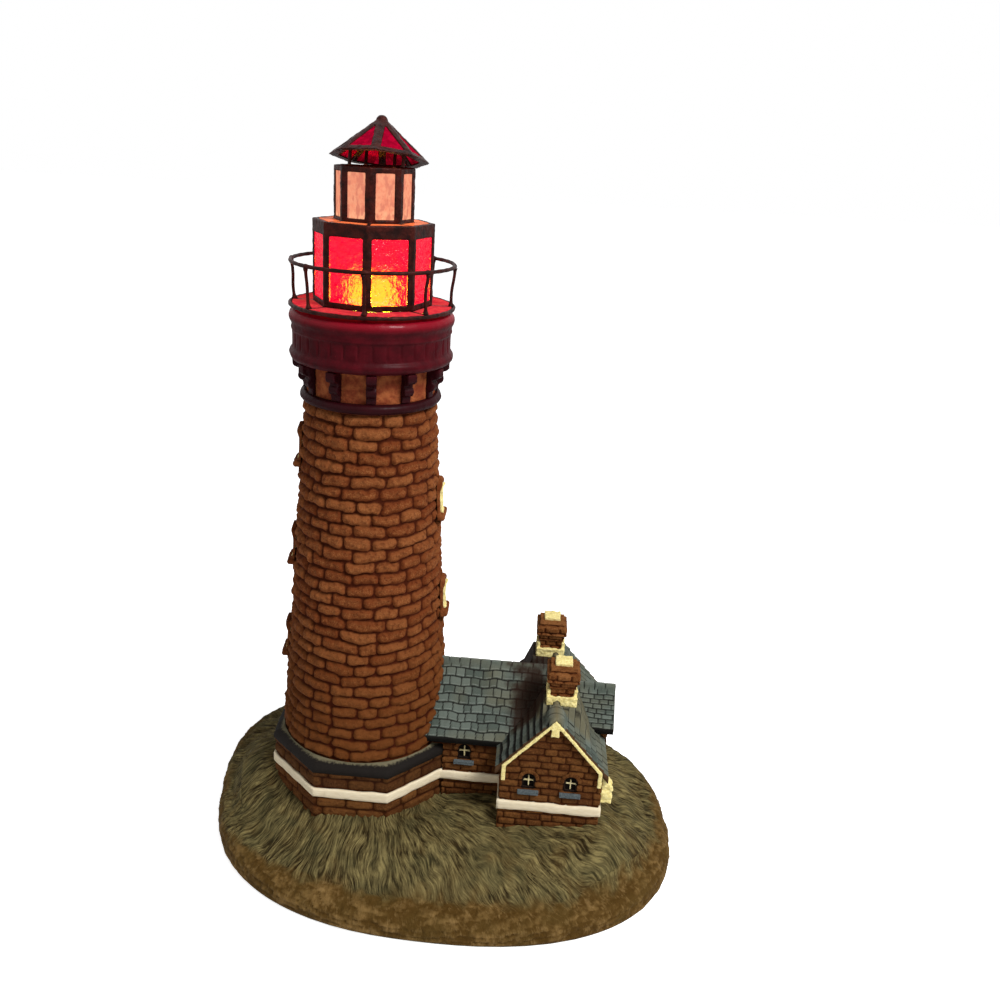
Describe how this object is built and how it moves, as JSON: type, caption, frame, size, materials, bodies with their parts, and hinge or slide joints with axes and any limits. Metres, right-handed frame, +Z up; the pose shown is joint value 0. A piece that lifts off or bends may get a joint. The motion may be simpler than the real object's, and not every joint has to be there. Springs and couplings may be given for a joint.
{
  "type": "lighthouse table lamp",
  "caption": "Table lamp shaped as a brick lighthouse with a keeper's house on a grassy mound, lit by a bulb under a lift-off stained-glass lantern.",
  "frame": {"origin": "on the tower axis at the underside of the felt, where the lamp stands", "axes": "+Z up along the tower, +X along the keeper's house, -Y the way the house's front gable looks"},
  "size_m": [0.2651, 0.2089, 0.3791],
  "materials": {
    "felt": "dull felt",
    "steel": "zinc plated",
    "grass_ground": "hand-painted cast resin, olive dry-brushed grass over brown rock",
    "black_plastic": "moulded",
    "tower_brick": "hand-painted cast resin, orange-brown bricks with dark joints",
    "house_brick": "hand-painted cast resin, red-brown bricks",
    "stripe_paint": "painted",
    "black_moulding": "painted, dry-brushed edge",
    "cream_paint": "painted",
    "gallery_maroon": "cast resin in glossy dark maroon paint",
    "slate_blue": "cast resin slates in blue-grey paint",
    "sill_blue": "painted",
    "brass_fitting": "plain",
    "socket_phenolic": "moulded phenolic",
    "lead_insulation": "lead insulation",
    "wire_nut_yellow": "moulded",
    "bulb_metal": "bright",
    "bulb_clear": "clear",
    "copper_came": "copper foil and solder with dark patina",
    "salmon_glass": "streaky art glass",
    "red_glass": "rippled red art glass",
    "orange_glass": "streaky art glass",
    "peach_glass": "seedy art glass",
    "crimson_glass": "rippled art glass"
  },
  "bodies": {
    "lamp_base": {"felt_pad": "felt", "base_plate": "steel", "base_screws": "steel", "ground": "grass_ground", "cord_bushing": "black_plastic", "tower_shell": "tower_brick", "tower_plinth": "house_brick", "plinth_stripe": "stripe_paint", "plinth_moulding": "black_moulding", "tower_window_hoods": "tower_brick", "tower_window_frames": "cream_paint", "neck_ring": "gallery_maroon", "corbels": "gallery_maroon", "gallery_cornice": "gallery_maroon", "hall_walls": "house_brick", "front_wing_walls": "house_brick", "rear_wing_walls": "house_brick", "end_walls": "house_brick", "hall_roof": "slate_blue", "front_roof": "slate_blue", "rear_roof": "slate_blue", "end_roof": "slate_blue", "front_chimney": "house_brick", "rear_chimney": "house_brick", "chimney_flashings": "cream_paint", "chimney_caps": "cream_paint", "bargeboards": "cream_paint", "house_stripe": "stripe_paint", "window_frames": "cream_paint", "window_sills": "sill_blue", "window_arches": "house_brick", "side_window_trim": "cream_paint", "socket_plate": "brass_fitting", "plate_screws": "steel", "lamp_pipe": "brass_fitting", "pipe_nuts": "brass_fitting", "socket_body": "socket_phenolic", "socket_shell": "brass_fitting", "socket_contact": "brass_fitting", "socket_leads": "lead_insulation", "wire_nuts": "wire_nut_yellow"},
    "lantern": {"deck_came": "copper_came", "deck_panes": "salmon_glass", "railing_posts": "copper_came", "railing_ring": "copper_came", "lower_came": "copper_came", "lower_panes": "red_glass", "shelf_panes": "orange_glass", "upper_came": "copper_came", "upper_panes": "peach_glass"},
    "roof": {"roof_came": "copper_came", "roof_panes": "crimson_glass", "roof_feet": "copper_came"},
    "bulb_contact": {"bulb_tip": "bulb_metal"},
    "bulb": {"bulb_cap": "bulb_metal", "bulb_glass": "bulb_clear", "bulb_filament": "bulb_metal"}
  },
  "joints": [
    {"name": "lantern_lift", "type": "slide", "parent": "lamp_base", "child": "lantern", "axis": [0, 0, 1], "range_m": [0, 0.08]},
    {"name": "roof_lift", "type": "slide", "parent": "lantern", "child": "roof", "axis": [0, 0, 1], "range_m": [0, 0.04]},
    {"name": "bulb_rise", "type": "slide", "parent": "lamp_base", "child": "bulb_contact", "axis": [0, 0, 1], "range_m": [0, 0.0089]},
    {"name": "bulb_turn", "type": "hinge", "parent": "bulb_contact", "child": "bulb", "pos_m": [0, 0, 0.27], "axis": [0, 0, 1], "range_deg": [0, 1260]}
  ],
  "couplings": [
    {"joint": "bulb_rise", "follows": "bulb_turn", "m_per_rad": 0.00040425}
  ]
}
